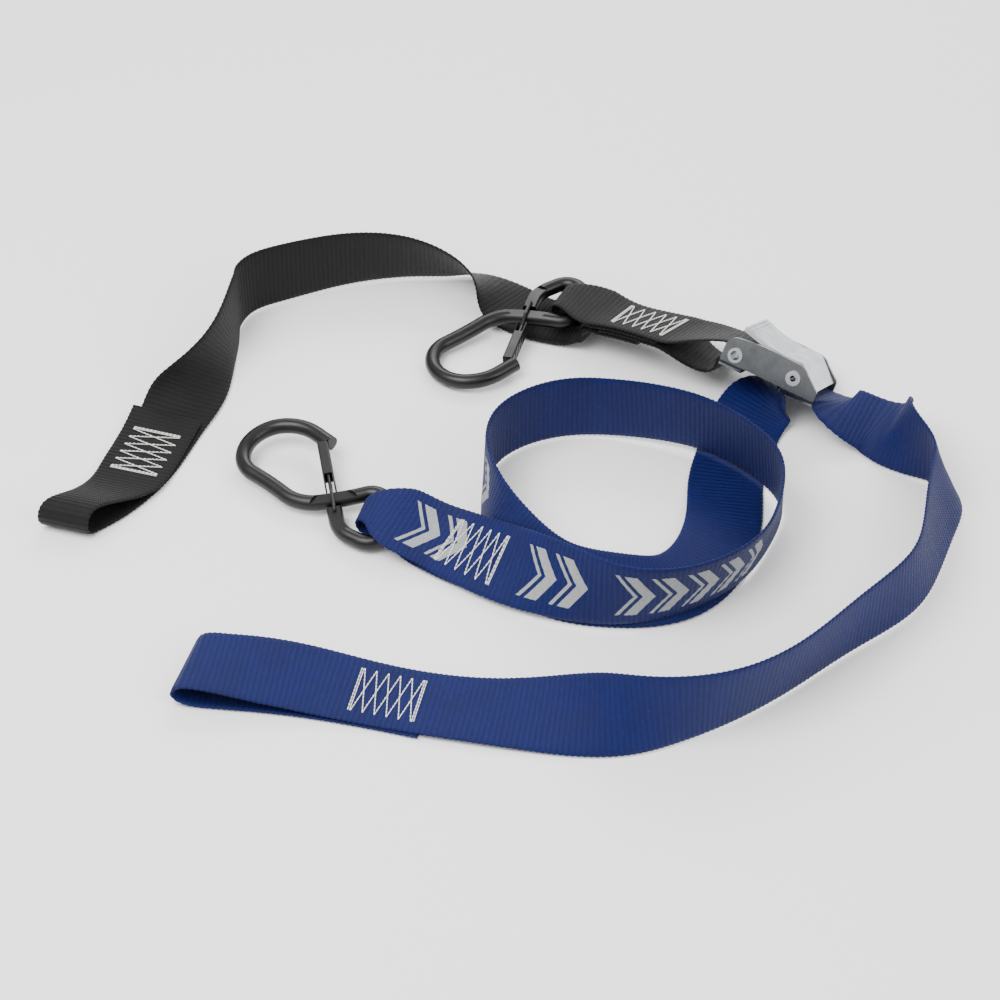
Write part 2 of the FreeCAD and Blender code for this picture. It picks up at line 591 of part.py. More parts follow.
def part_table():
    """Every node's name and shape."""
    tail, strand = tail_run(), base_turn()[:-1] + strand_run()
    anchor, soft = anchor_run(), soft_loop_run()
    table = {
        "load_webbing_tail": strap(tail), "load_webbing_strand": strap(strand),
        "anchor_webbing": strap(anchor), "soft_loop_webbing": strap(soft),
        "handle_stitching": box_stitch(tail, distance_to(tail, V(-38, -144, 3)), 31, face=-1),
        "load_end_stitching": box_stitch(strand, distance_to(strand, V(-5, -60, 15)) - 3, 31, face=-1),
        "anchor_stitching": box_stitch(anchor, distance_to(anchor, V(64, 129, 24)), 31),
        "soft_loop_stitching": box_stitch(soft, distance_to(soft, V(-185, 18, 3)), 29),
    }
    for name, frame in (("hook_a", HOOK_A), ("hook_b", HOOK_B)):
        table[name + "_body"] = frame.place(hook_body())
        table[name + "_gate_wire"] = frame.place(gate_wire())
        table[name + "_gate_sleeve"] = frame.place(gate_sleeve())
    pivot = (PIVOT_U, PIVOT_N)
    for name, shape in (("buckle_frame", buckle_frame()), ("anchor_rivet", hollow_rivet(ANCHOR_R, 2.4, 3.9)),
                        ("pivot_rivet", hollow_rivet(PIVOT_R, 1.6, 3.9, *pivot)),
                        ("cam_lever", cam_lever()), ("cam_block", cam_block()), ("cam_spring", cam_spring())):
        table[name] = BUCKLE.place(shape)
    return table


def main():
    os.makedirs("parts", exist_ok=True)
    for name, shape in part_table().items():
        shape.translate(LAYOUT_SHIFT)
        box = shape.BoundBox
        print("%-22s valid %s solids %d volume %8.0f z %.2f to %.2f" % (
            name, shape.isValid(), len(shape.Solids), shape.Volume, box.ZMin, box.ZMax))
        shape.exportStep("parts/%s.step" % name)


if __name__ == "__main__":
    main()
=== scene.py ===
"""Cam-buckle tie-down laid loose on a pale floor: webbing, stitching, materials, light and camera."""
import math
import bpy
from mathutils import Euler, Matrix, Vector


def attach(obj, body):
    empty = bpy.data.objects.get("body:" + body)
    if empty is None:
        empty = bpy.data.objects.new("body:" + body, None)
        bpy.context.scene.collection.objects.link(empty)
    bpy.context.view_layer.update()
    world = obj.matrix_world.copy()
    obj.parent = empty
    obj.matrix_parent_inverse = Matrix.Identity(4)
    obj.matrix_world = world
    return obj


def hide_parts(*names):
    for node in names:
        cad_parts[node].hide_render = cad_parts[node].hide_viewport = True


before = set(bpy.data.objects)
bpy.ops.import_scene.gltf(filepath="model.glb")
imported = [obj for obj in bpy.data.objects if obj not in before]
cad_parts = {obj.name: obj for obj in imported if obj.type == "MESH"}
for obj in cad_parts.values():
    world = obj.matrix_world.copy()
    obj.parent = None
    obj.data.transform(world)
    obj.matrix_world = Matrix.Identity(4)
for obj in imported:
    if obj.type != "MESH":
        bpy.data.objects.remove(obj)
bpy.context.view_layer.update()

# ---- sizes in metres, as in the CAD -------------------------------------------------------------
WEB_HALF = 0.019             # half of the 38 mm webbing
WEB_THICK = 0.00145
PLY_STEP = 0.00185           # centre to centre of sewn plies
FINE = 0.002                 # distance between cross sections along a run
PLY_TRIM = 2                 # sections per 4 mm step of the sewn stack
FRAME_FLOOR = -0.008         # underside of the buckle floor, from the anchor bar
PLATE = 0.002                # buckle sheet
WRAP_R = 0.0042              # webbing centre line round the anchor bar
BASE_WRAP_R = 0.00195        # and round the edge of the front floor
SHIFT = Vector((-0.0012, -0.00571, 0.00027))     # the CAD's layout shift
RIB_PITCH = 0.0026
RIB_HEIGHT = 0.00013
RIB_SAMPLES = 4
SELVEDGE_BODY = 0.72         # the woven edge's thickness and rib height, as shares of the full ones
SELVEDGE_RIB = 0.6
EDGE_SCALLOP = 0.0002
NORMAL_REACH = 6             # rows on each side that a face normal is averaged over
FACE_OFFSET = 1.0            # UV metres between the printed and the plain face


class Frame:
    """A placed set of axes: a, b and c are its local directions."""

    def __init__(self, origin, yaw, pitch, roll):
        turns = [Matrix.Rotation(math.radians(angle), 3, axis)
                 for angle, axis in ((yaw, "Z"), (pitch, "Y"), (roll, "X"))]
        rotation = turns[0] @ turns[1] @ turns[2]
        self.origin = Vector(origin)
        self.a, self.b, self.c = (rotation @ Vector(axis) for axis in ((1, 0, 0), (0, 1, 0), (0, 0, 1)))

    def at(self, a, b, c):
        return self.origin + self.a * a + self.b * b + self.c * c


BUCKLE = Frame((0.1285, 0.0905, 0.0245), -29.0, 9.0, -28.5)


# ---- webbing routes -----------------------------------------------------------------------------
def spline(values, count):
    """Uniform cubic B-spline with mirrored ends, so that it starts and stops on its end values."""
    poles = [values[0] * 2 - values[1]] + list(values) + [values[-1] * 2 - values[-2]]
    spans = len(poles) - 3
    found = []
    for k in range(count):
        t = spans * k / (count - 1)
        i = min(int(t), spans - 1)
        f = t - i
        weights = ((1 - f) ** 3, 3 * f ** 3 - 6 * f * f + 4, -3 * f ** 3 + 3 * f * f + 3 * f + 1, f ** 3)
        total = Vector((0, 0, 0))
        for weight, pole in zip(weights, poles[i:i + 4]):
            total += pole * (weight / 6.0)
        found.append(total)
    return found


def tangent(points, i):
    return (points[min(i + 1, len(points) - 1)] - points[max(i - 1, 0)]).normalized()


def width_direction(points, i, lean):
    """Direction across the webbing: lean 0 stands on edge, 90 lies flat, or an explicit vector."""
    if isinstance(lean, (tuple, list)):
        return Vector(lean).normalized()
    along = tangent(points, i)
    left = Vector((0, 0, 1)).cross(along).normalized()
    top = along.cross(left)
    angle = math.radians(lean)
    return top * math.cos(angle) + left * math.sin(angle)


def course(rows, skewed=False):
    """Cross sections (centre, across, half width) along a free run given by a few stations."""
    points = [Vector(row[:3]) for row in rows]
    across = [width_direction(points, i, row[3]) for i, row in enumerate(rows)]
    halves = [Vector((row[4] if len(row) > 4 else WEB_HALF, 0, 0)) for row in rows]
    length = sum((points[i + 1] - points[i]).length for i in range(len(points) - 1))
    count = max(5, int(length / FINE) + 1)
    centres, widths, halves = spline(points, count), spline(across, count), spline(halves, count)
    sections = []
    for i, centre in enumerate(centres):
        wide = widths[i]
        if not skewed:
            along = tangent(centres, i)
            wide = wide - along * wide.dot(along)
        sections.append((centre, wide.normalized(), halves[i].x))
    return sections


def wrap(centre, out, forward, across, radius, start, stop, steps=9):
    """Sections round a bar: the angle turns from the direction `out` towards `forward`."""
    sections = []
    for k in range(steps):
        angle = math.radians(start + (stop - start) * k / (steps - 1))
        point = centre + out * (radius * math.cos(angle)) + forward * (radius * math.sin(angle))
        sections.append((point, across, WEB_HALF))
    return sections


def offset(sections, distance):
    """The same run moved along its face normal."""
    centres = [s[0] for s in sections]
    return [(centre + tangent(centres, i).cross(wide).normalized() * distance, wide, half)
            for i, (centre, wide, half) in enumerate(sections)]


def stations(sections):
    """Sections written again as course rows."""
    return [(c.x, c.y, c.z, tuple(w), h) for c, w, h in sections]


ACROSS = tuple(BUCKLE.b)
EXIT_LEVEL = FRAME_FLOOR + PLATE / 2 + BASE_WRAP_R
BASE_EDGE = BUCKLE.at(0.028, 0, FRAME_FLOOR + PLATE / 2)
BASE_START = 15.0         # degrees past straight down where the load webbing meets the base edge
HANDLE_FOLD = (0.27, 0.96, 0.0)
SEWN = (0.38, 0.89, -0.27)
SOFT_LOOP = (-0.955, 0.297, 0.0)


def buckle_row(a, c):
    point = BUCKLE.at(a, 0, c)
    return (point.x, point.y, point.z, ACROSS)


def tail_run():
    """Out of the buckle, across the front to the handle loop and back under itself."""
    return course([
        buckle_row(0.028, EXIT_LEVEL), buckle_row(0.036, EXIT_LEVEL), buckle_row(0.044, EXIT_LEVEL),
        buckle_row(0.052, EXIT_LEVEL), (0.175, 0.0575, 0.0125, 86), (0.193, 0.052, 0.0045, 84),
        (0.1995, 0.043, 0.0105, 59),
        (0.198, 0.036, 0.0173, 29), (0.205, 0.0205, 0.0204, 6), (0.218, 0.007, 0.02, -16),
        (0.2225, -0.0065, 0.0196, -32), (0.2155, -0.025, 0.0196, -25),
        (0.207, -0.0555, 0.0193, -16), (0.1965, -0.084, 0.0204, -6), (0.1645, -0.1095, 0.0203, 4),
        (0.1355, -0.139, 0.0199, 11), (0.105, -0.1595, 0.0202, 8), (0.071, -0.169, 0.0202, -10),
        (0.047, -0.165, 0.0158, -40),
        (0.026, -0.158, 0.009, -65), (-0.002, -0.152, 0.0045, -84), (-0.034, -0.1455, 0.0029, -88),
        (-0.064, -0.138, 0.0036, -86),
        (-0.09, -0.1325, 0.0072, (0.2, 0.96, 0.16)), (-0.113, -0.13, 0.0108, (0.22, 0.96, 0.12)),
        (-0.13, -0.128, 0.0124, HANDLE_FOLD), (-0.142, -0.126, 0.0128, HANDLE_FOLD),
        (-0.1475, -0.125, 0.0064, HANDLE_FOLD),
        (-0.14, -0.1264, 0.001, HANDLE_FOLD), (-0.127, -0.128, 0.001, HANDLE_FOLD),
        (-0.112, -0.1295, 0.001, 90),
        (-0.09, -0.1325, 0.001, 90), (-0.063, -0.1385, 0.001, 90), (-0.0325, -0.147, 0.001, 90)])


def base_turn():
    """Half turn of the load webbing round the rear edge of the buckle's front floor."""
    return wrap(BASE_EDGE, BUCKLE.a * -1, BUCKLE.c, BUCKLE.b, BASE_WRAP_R, 90, -BASE_START, 16)


def strand_run():
    """From under the buckle, round the standing loop and flat to hook B's eye and back."""
    entry = base_turn()[-1][0]
    turn = math.radians(BASE_START)
    below = entry + (BUCKLE.a * math.sin(turn) - BUCKLE.c * math.cos(turn)) * 0.0045
    fold = (0.3, 0.95, 0.1)
    return course([
        (entry.x, entry.y, entry.z, ACROSS), (below.x, below.y, below.z, (0.36, 0.85, -0.38)),
        (0.137, 0.073, 0.0086, -77), (0.1255, 0.054, 0.0042, -78), (0.12, 0.036, 0.0015, -90),
        (0.1125, 0.0135, 0.0011, -91),
        (0.112, -0.0165, 0.0022, -86), (0.103, -0.051, 0.0055, -80), (0.084, -0.0745, 0.0065, -75),
        (0.054, -0.077, 0.0098, -62),
        (0.021, -0.073, 0.012, -55), (-0.001, -0.045, 0.018, -40), (-0.005, -0.0225, 0.0192, -10),
        (-0.0095, 0.0095, 0.0206, 0),
        (0.0015, 0.0355, 0.02, -2), (0.0295, 0.0505, 0.0199, 0), (0.056, 0.05, 0.0199, -2),
        (0.0845, 0.0415, 0.0226, -4),
        (0.1085, 0.0305, 0.023, -6), (0.129, 0.0095, 0.0226, -7), (0.141, -0.012, 0.023, -6),
        (0.134, -0.037, 0.0196, 7),
        (0.1205, -0.0695, 0.0212, 17), (0.089, -0.091, 0.0218, 15), (0.0575, -0.096, 0.022, 4),
        (0.0285, -0.082, 0.021, -23),
        (0.0015, -0.064, 0.0153, -52), (-0.022, -0.042, 0.0092, (0.42, 0.85, 0.3)),
        (-0.033, -0.036, 0.0098, (0.31, 0.93, 0.22)),
        (-0.043, -0.032, 0.0128, (0.3, 0.92, 0.27)), (-0.052, -0.028, 0.0154, (0.3, 0.92, 0.27), 0.0185),
        (-0.061, -0.022, 0.0159, (0.38, 0.9, 0.2), 0.011),
        (-0.0695, -0.019, 0.011, (0.3, 0.95, 0.1), 0.0075),
        (-0.0675, -0.0195, 0.0026, fold, 0.0075), (-0.059, -0.022, 0.0011, fold, 0.008),
        (-0.0515, -0.025, 0.002, (0.3, 0.95, 0.06), 0.0085),
        (-0.0425, -0.031, 0.0032, (0.3, 0.93, 0.2), 0.0135),
        (-0.033, -0.0375, 0.0066, (0.31, 0.93, 0.22), 0.017),
        (-0.022, -0.0445, 0.0069, (0.42, 0.86, 0.27), 0.0175),
        (-0.012, -0.0515, 0.0092, (0.4, 0.78, 0.42), 0.0175)])


# top ply of the black webbing, from hook A's eye over the sewn stack to the anchor bar
STACK_ROWS = [(0.05, 0.1365, 0.0196, 92), (0.0645, 0.1285, 0.0186, SEWN), (0.079, 0.1205, 0.0202, SEWN),
              (0.092, 0.111, 0.0229, 101)]
ANCHOR_TOP = (*BUCKLE.at(0, 0, WRAP_R), ACROSS)


def stack_ply(level, trim_hook=0, trim_buckle=0):
    """Exact parallel ply under the top one, from the hook end towards the buckle."""
    sections = offset(course(STACK_ROWS), -PLY_STEP * level)
    return sections[trim_hook * PLY_TRIM:len(sections) - trim_buckle * PLY_TRIM]


def lead(sections, reach=0.007):
    """Rows that bring a free run smoothly onto the first of some fixed sections."""
    centre, wide, half = sections[0]
    along = (sections[1][0] - centre).normalized()
    before = centre - along * reach
    return stations([(before, wide, half), (centre, wide, half)])


def reverse(sections, side=1):
    """The same ply travelled the other way; side -1 names its other edge as the leading one."""
    return [(centre, wide * side, half) for centre, wide, half in sections[::-1]]


def anchor_run():
    """The whole black anchor webbing, from its sewn end through both bends to its other end."""
    eye = (0.44, 0.89, 0.03)
    back, top = reverse(stack_ply(1, trim_hook=2)), stack_ply(0, trim_hook=1)
    eye_turn = course(lead(back[::-1])[::-1] + [
        (0.0505, 0.141, 0.0066, (0.45, 0.89, -0.05), 0.012), (0.041, 0.149, 0.005, eye, 0.0085),
        (0.031, 0.1505, 0.0082, eye, 0.0085),
        (0.0315, 0.1495, 0.0175, eye, 0.009),
        (0.04, 0.143, 0.0206, (0.46, 0.88, -0.04), 0.0135)] + lead(top),
        skewed=True)
    rise = course(lead(top[::-1])[::-1] + [
        (0.1035, 0.1042, 0.0262, (0.375, 0.87, -0.32)), (0.1138, 0.099, 0.0289, (0.37, 0.84, -0.4)),
        (0.1222, 0.0963, 0.0296, ACROSS), ANCHOR_TOP])
    bar = wrap(BUCKLE.origin, BUCKLE.c, BUCKLE.a, BUCKLE.b, WRAP_R, 0, 180, 24)
    low = reverse(stack_ply(2, trim_hook=3, trim_buckle=1))
    lower = course([(*BUCKLE.at(0, 0, -WRAP_R), ACROSS),
                    buckle_row(-0.005, -0.0046), buckle_row(-0.01, -0.0052),
                    (0.1185, 0.096, 0.0105, ACROSS), (0.1135, 0.1, 0.0076, (0.37, 0.84, -0.36)),
                    (0.104, 0.106, 0.01, SEWN)] + lead(low), skewed=True)
    return back + eye_turn[1:-1] + top + rise[1:-1] + bar + lower[1:-1] + low


def soft_loop_run():
    """Black webbing sewn under the stack, past hook A and out to the rolled soft loop."""
    sewn = reverse(stack_ply(3, trim_hook=3, trim_buckle=3), -1)
    free = course(lead(sewn[::-1])[::-1] + [
        (0.0535, 0.1345, 0.007, (-0.38, -0.89, 0.2)), (0.046, 0.139, 0.003, (-0.45, -0.89, 0.03)),
        (0.037, 0.1425, 0.0017, 90),
        (0.025, 0.146, 0.0015, 90), (0.013, 0.153, 0.0015, 90), (0.002, 0.1625, 0.0022, 90),
        (-0.009, 0.172, 0.0113, 58),
        (-0.0255, 0.176, 0.0171, 34), (-0.0455, 0.181, 0.0192, 21), (-0.0665, 0.1815, 0.0198, 12),
        (-0.088, 0.1775, 0.02, 6),
        (-0.107, 0.1705, 0.0196, 2), (-0.122, 0.1635, 0.02, 0), (-0.1345, 0.157, 0.02, 0),
        (-0.1405, 0.146, 0.02, -2),
        (-0.141, 0.139, 0.02, (0, 0, 1))])
    ring = SOFT_LOOP
    loop = course([(-0.141, 0.139, 0.02, (0, 0, 1)), (-0.1415, 0.132, 0.02, (-0.05, -0.1, 0.99)),
                   (-0.143, 0.116, 0.019, (-0.15, -0.35, 0.9)), (-0.1475, 0.1, 0.0168, (-0.35, -0.5, 0.78)),
                   (-0.1555, 0.086, 0.0126, (-0.68, -0.35, 0.55)),
                   (-0.163, 0.075, 0.0078, (-0.88, 0.1, 0.3)),
                   (-0.1685, 0.064, 0.0014, ring), (-0.172, 0.055, 0.001, ring),
                   (-0.175, 0.046, 0.001, ring),
                   (-0.18, 0.031, 0.001, ring), (-0.1855, 0.0155, 0.001, ring, 0.018),
                   (-0.1935, 0, 0.001, ring, 0.016),
                   (-0.2015, -0.0125, 0.0012, ring, 0.014), (-0.211, -0.0205, 0.0009, ring, 0.0135),
                   (-0.2145, -0.0265, 0.0035, ring, 0.0135),
                   (-0.2145, -0.0265, 0.0117, ring, 0.0135), (-0.2115, -0.0205, 0.0158, ring, 0.013),
                   (-0.203, -0.0125, 0.0125, ring, 0.0125),
                   (-0.1945, -0.001, 0.006, ring, 0.0155), (-0.1875, 0.01, 0.0029, ring, 0.018),
                   (-0.184, 0.021, 0.00285, ring),
                   (-0.18, 0.034, 0.00285, ring), (-0.1755, 0.049, 0.0034, ring),
                   (-0.172, 0.062, 0.0052, (-0.95, 0.3, 0.06))],
                  skewed=True)
    return sewn + free[1:] + loop[1:]




# ---- webbing meshes -----------------------------------------------------------------------------
def blend_four(p, f):
    """Catmull-Rom value between the two middle ones of four."""
    return (p[1] * 2 + (p[2] - p[0]) * f + (p[0] * 2 - p[1] * 5 + p[2] * 4 - p[3]) * (f * f)
            + (p[1] * 3 - p[0] - p[2] * 3 + p[3]) * (f ** 3)) * 0.5


def resample(sections, step):
    """Evenly spaced sections (centre, across, half, distance) through the given ones."""
    centres, wides = [s[0] for s in sections], [s[1] for s in sections]
    halves = [Vector((s[2], 0, 0)) for s in sections]
    lengths = [(centres[i + 1] - centres[i]).length for i in range(len(centres) - 1)]
    found = []
    walked, target = 0.0, 0.0
    for i, length in enumerate(lengths):
        four = [max(0, i - 1), i, i + 1, min(len(centres) - 1, i + 2)]
        while target <= walked + length:
            f = (target - walked) / length
            centre, wide, half = (blend_four([row[k] for k in four], f) for row in (centres, wides, halves))
            found.append((centre, wide.normalized(), half.x, target))
            target += step
        walked += length
    return found


ACROSS_STEPS = [-1.0, -0.975, -0.86, -0.6, -0.3, 0.0, 0.3, 0.6, 0.86, 0.975, 1.0]


def webbing(name, sections, material, nodes):
    """Woven band with raised cross ribs, rounded selvedges and a UV map in metres (along, across)."""
    rows = resample(sections, RIB_PITCH / RIB_SAMPLES)
    centres = [row[0] for row in rows]
    ring = [(a, 1) for a in ACROSS_STEPS[1:-1]] + [(1.0, 0)] + [(a, -1) for a in ACROSS_STEPS[-2:0:-1]]
    ring.append((-1.0, 0))
    points, texture = [], []
    reach = NORMAL_REACH
    for i, (centre, wide, half, distance) in enumerate(rows):
        along = (centres[min(i + reach, len(rows) - 1)] - centres[max(i - reach, 0)]).normalized()
        normal = along.cross(wide).normalized()
        wave = math.cos(2 * math.pi * distance / RIB_PITCH)
        for a, face in ring:
            selvedge = abs(a) > 0.95
            body, rib = (SELVEDGE_BODY, SELVEDGE_RIB) if selvedge else (1.0, 1.0)
            thick = WEB_THICK / 2 * body + RIB_HEIGHT * wave * rib
            width = half + (EDGE_SCALLOP * wave if abs(a) > 0.8 else 0)
            points.append(centre + wide * (a * width) + normal * (face * thick) + SHIFT)
            texture.append((distance, a * half if face >= 0 else a * half + FACE_OFFSET))
    size = len(ring)
    faces = []
    for i in range(len(rows) - 1):
        for j in range(size):
            k = (j + 1) % size
            faces.append((i * size + j, i * size + k, (i + 1) * size + k, (i + 1) * size + j))
    last = (len(rows) - 1) * size
    faces.append(tuple(reversed(range(size))))
    faces.append(tuple(range(last, last + size)))
    mesh = bpy.data.meshes.new(name)
    mesh.from_pydata(points, [], faces)
    layer = mesh.uv_layers.new(name="weave")
    layer.data.foreach_set("uv", [c for loop in mesh.loops for c in texture[loop.vertex_index]])
    for polygon in mesh.polygons:
        polygon.use_smooth = len(polygon.vertices) == 4
    mesh.update()
    band = bpy.data.objects.new(name, mesh)
    bpy.context.scene.collection.objects.link(band)
    mesh.materials.append(material)
    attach(band, "straps")
    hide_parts(*nodes)
    length = rows[-1][3]
    return band, length


def at_distance(sections, point):
    """Distance along a run of the section nearest to a point."""
    rows = resample(sections, 0.001)
    return min(rows, key=lambda row: (row[0] - point).length)[3]


# ---- stitching ----------------------------------------------------------------------------------
THREAD_R = 0.0003
STITCH_PITCH = 0.0021
CROSSINGS = 5
BAR_STEP = 0.0009


def stitch_block(name, sections, start, length, face, material, node, reach=0.68):
    """Box stitch of twisted white thread: doubled end bars and crosses, pinched at each hole."""
    rows = resample(sections, 0.001)
    centres = [row[0] for row in rows]

    def on_band(distance, side):
        i = max(1, min(len(rows) - 2, int(distance / 0.001)))
        centre, wide, half, _ = rows[i]
        centre = centre.lerp(rows[i + 1][0], min(1.0, max(0.0, distance / 0.001 - i)))
        along = (centres[min(i + 4, len(rows) - 1)] - centres[max(i - 4, 0)]).normalized()
        normal = along.cross(wide).normalized()
        return centre + wide * (half * side), normal * face

    lines = []
    for end, inward in ((start, BAR_STEP), (start + length, -BAR_STEP)):
        lines.append(((end, -reach), (end, reach)))
        lines.append(((end + inward, reach), (end + inward, -reach)))
    pitch = (length - 3 * BAR_STEP) / CROSSINGS
    for k in range(CROSSINGS):
        left = start + 1.5 * BAR_STEP + k * pitch
        lines.append(((left, reach), (left + pitch, -reach)))
        lines.append(((left, -reach), (left + pitch, reach)))
    points, faces = [], []
    sides = 7
    for (d0, s0), (d1, s1) in lines:
        run = math.hypot(d1 - d0, (s1 - s0) * WEB_HALF)
        stitches = max(2, round(run / STITCH_PITCH))
        steps = stitches * 8
        base = len(points)
        line = []
        for k in range(steps + 1):
            f = k / steps
            line.append(on_band(d0 + (d1 - d0) * f, s0 + (s1 - s0) * f))
        for k, (point, normal) in enumerate(line):
            phase = (k * stitches / steps) % 1.0
            swell = math.sin(math.pi * phase) ** 0.6 if phase else 0.0
            radius = THREAD_R * (0.45 + 0.55 * swell)
            ahead, behind = line[min(k + 1, steps)][0], line[max(k - 1, 0)][0]
            side = normal.cross(ahead - behind).normalized()
            middle = point + normal * (WEB_THICK / 2 - 0.0001 + 0.0004 * swell) + SHIFT
            for j in range(sides):
                angle = 2 * math.pi * j / sides + 1.3 * k / 8
                ply = 1.0 + 0.16 * math.cos(3 * angle)
                points.append(middle + (side * math.cos(2 * math.pi * j / sides)
                                        + normal * math.sin(2 * math.pi * j / sides)) * (radius * ply))
        for k in range(steps):
            for j in range(sides):
                a, b = base + k * sides + j, base + k * sides + (j + 1) % sides
                faces.append((a, b, b + sides, a + sides))
        faces.append(tuple(base + j for j in reversed(range(sides))))
        faces.append(tuple(base + steps * sides + j for j in range(sides)))
    mesh = bpy.data.meshes.new(name)
    mesh.from_pydata(points, [], faces)
    for polygon in mesh.polygons:
        polygon.use_smooth = True
    mesh.materials.append(material)
    piece = bpy.data.objects.new(name, mesh)
    bpy.context.scene.collection.objects.link(piece)
    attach(piece, "straps")
    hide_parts(node)
    return piece


# ---- materials ----------------------------------------------------------------------------------
class Nodes:
    """A material's node tree, written in a few lines."""

    def __init__(self, name):
        self.material = bpy.data.materials.new(name)
        self.material.use_nodes = True
        self.tree = self.material.node_tree
        self.shader = self.tree.nodes["Principled BSDF"]

    def add(self, kind, inputs=(), **settings):
        node = self.tree.nodes.new("ShaderNode" + kind)
        for key, value in settings.items():
            setattr(node, key, value)
        for key, value in dict(inputs).items():
            if isinstance(value, bpy.types.NodeSocket):
                self.tree.links.new(value, node.inputs[key])
            else:
                node.inputs[key].default_value = value
        return node

    def math(self, operation, a, b=0.0, c=0.0):
        return self.add("Math", {0: a, 1: b, 2: c}, operation=operation).outputs[0]

    def noise(self, vector, scale, detail=3.0, rough=0.5):
        return self.add("TexNoise", {"Vector": vector, "Scale": scale, "Detail": detail,
                                     "Roughness": rough}).outputs["Fac"]

    def ramp(self, value, low, high, to_low=0.0, to_high=1.0):
        return self.add("MapRange", {"Value": value, "From Min": low, "From Max": high, "To Min": to_low,
                                     "To Max": to_high}).outputs["Result"]

    def mix(self, factor, a, b):
        node = self.add("Mix", data_type="RGBA")
        for key, value in ((0, factor), (6, a), (7, b)):
            if isinstance(value, bpy.types.NodeSocket):
                self.tree.links.new(value, node.inputs[key])
            else:
                node.inputs[key].default_value = value
        return node.outputs[2]

    def set(self, **values):
        names = {"color": "Base Color", "rough": "Roughness", "metal": "Metallic", "sheen": "Sheen Weight",
                 "sheen_rough": "Sheen Roughness", "specular": "Specular IOR Level", "coat": "Coat Weight",
                 "coat_rough": "Coat Roughness"}
        for key, value in values.items():
            socket = self.shader.inputs[names[key]]
            if isinstance(value, bpy.types.NodeSocket):
                self.tree.links.new(value, socket)
            else:
                socket.default_value = value

    def bump(self, height, strength, distance):
        node = self.add("Bump", {"Height": height, "Strength": strength, "Distance": distance})
        self.tree.links.new(node.outputs["Normal"], self.shader.inputs["Normal"])


PRINT_PITCH = 0.0165


def woven(name, dark, light, glint_strength, groups=()):
    """Plain-woven webbing: warp yarns along the band, cross ribs, painted highlight on the yarn crowns and
    rib crests, painted glints, silver print.
    """
    n = Nodes(name)
    uv = n.add("UVMap", uv_map="weave").outputs["UV"]
    split = n.add("SeparateXYZ", {"Vector": uv})
    along, across = split.outputs["X"], split.outputs["Y"]
    turn = 2 * math.pi
    warp = n.math("SINE", n.math("MULTIPLY", across, turn / 0.0011))
    rib = n.math("COSINE", n.math("MULTIPLY", along, turn / RIB_PITCH))
    shifted = n.math("ADD", n.math("MULTIPLY", along, turn / 0.0013),
                     n.math("MULTIPLY", n.math("ROUND", n.math("MULTIPLY", across, 1 / 0.00055)), math.pi))
    crown = n.math("MULTIPLY", n.math("COSINE", shifted), n.math("ABSOLUTE", warp))
    place = n.add("TexCoord").outputs["Object"]
    cloud = n.noise(place, 55.0, 4.0, 0.6)
    fibre = n.noise(n.add("Mapping", {"Vector": uv, "Scale": (500.0, 4200.0, 1.0)}).outputs[0], 1.0, 2.0, 0.7)
    glint_speckle = n.noise(n.add("Mapping", {"Vector": uv, "Scale": (900.0, 1700.0, 1.0)}).outputs[0], 1.0, 1.0)
    # Painted highlight: the yarn crowns and rib crests are coloured paler, with random fibre tone added on
    # top.
    crest_highlight = n.math("ADD", n.math("MULTIPLY", crown, 0.28), n.math("MULTIPLY", rib, 0.22))
    highlight_and_fibre_tone = n.ramp(n.math("ADD", crest_highlight, n.math("MULTIPLY", n.math("SUBTRACT", fibre, 0.5), 0.9)), -0.7, 0.8)
    color = n.mix(highlight_and_fibre_tone, dark, light)
    color = n.mix(n.ramp(cloud, 0.35, 0.75, 0.0, 0.35), color, [c * 0.7 for c in dark[:3]] + [1.0])
    # Painted glints: scattered specks of a much brighter copy of the pale colour stand in for fibre
    # highlights.
    painted_glint = n.ramp(glint_speckle, 0.66, 0.78, 0.0, glint_strength)
    color = n.mix(painted_glint, color, [min(1.0, c * 3.2 + 0.03) for c in light[:3]] + [1.0])
    for start, repeats in groups:
        local = n.math("SUBTRACT", n.math("SUBTRACT", along, start), n.math("MULTIPLY", n.math(
            "ABSOLUTE", across), 0.7))
        inside = n.math("MULTIPLY", n.math("GREATER_THAN", local, 0.0),
                        n.math("LESS_THAN", local, repeats * PRINT_PITCH))
        phase = n.math("FRACT", n.math("DIVIDE", local, PRINT_PITCH))
        bars = n.math("MAXIMUM", n.math("LESS_THAN", phase, 0.36), n.math("MULTIPLY", n.math(
            "GREATER_THAN", phase, 0.5), n.math("LESS_THAN", phase, 0.62)))
        inside = n.math("MULTIPLY", inside, n.math("MULTIPLY", bars, n.math("LESS_THAN", n.math(
            "ABSOLUTE", across), 0.0125)))
        worn = n.ramp(n.math("ADD", fibre, n.math("MULTIPLY", crown, 0.16)), 0.24, 0.4)
        color = n.mix(n.math("MULTIPLY", inside, worn), color, (0.3, 0.31, 0.31, 1.0))
    n.set(color=color, rough=n.ramp(highlight_and_fibre_tone, 0.0, 1.0, 0.72, 0.5), sheen=0.06, sheen_rough=0.4, specular=0.2)
    height = n.math("ADD", n.math("MULTIPLY", crown, 0.5), n.math("MULTIPLY", fibre, 0.45))
    n.bump(height, 0.55, 0.00022)
    return n.material


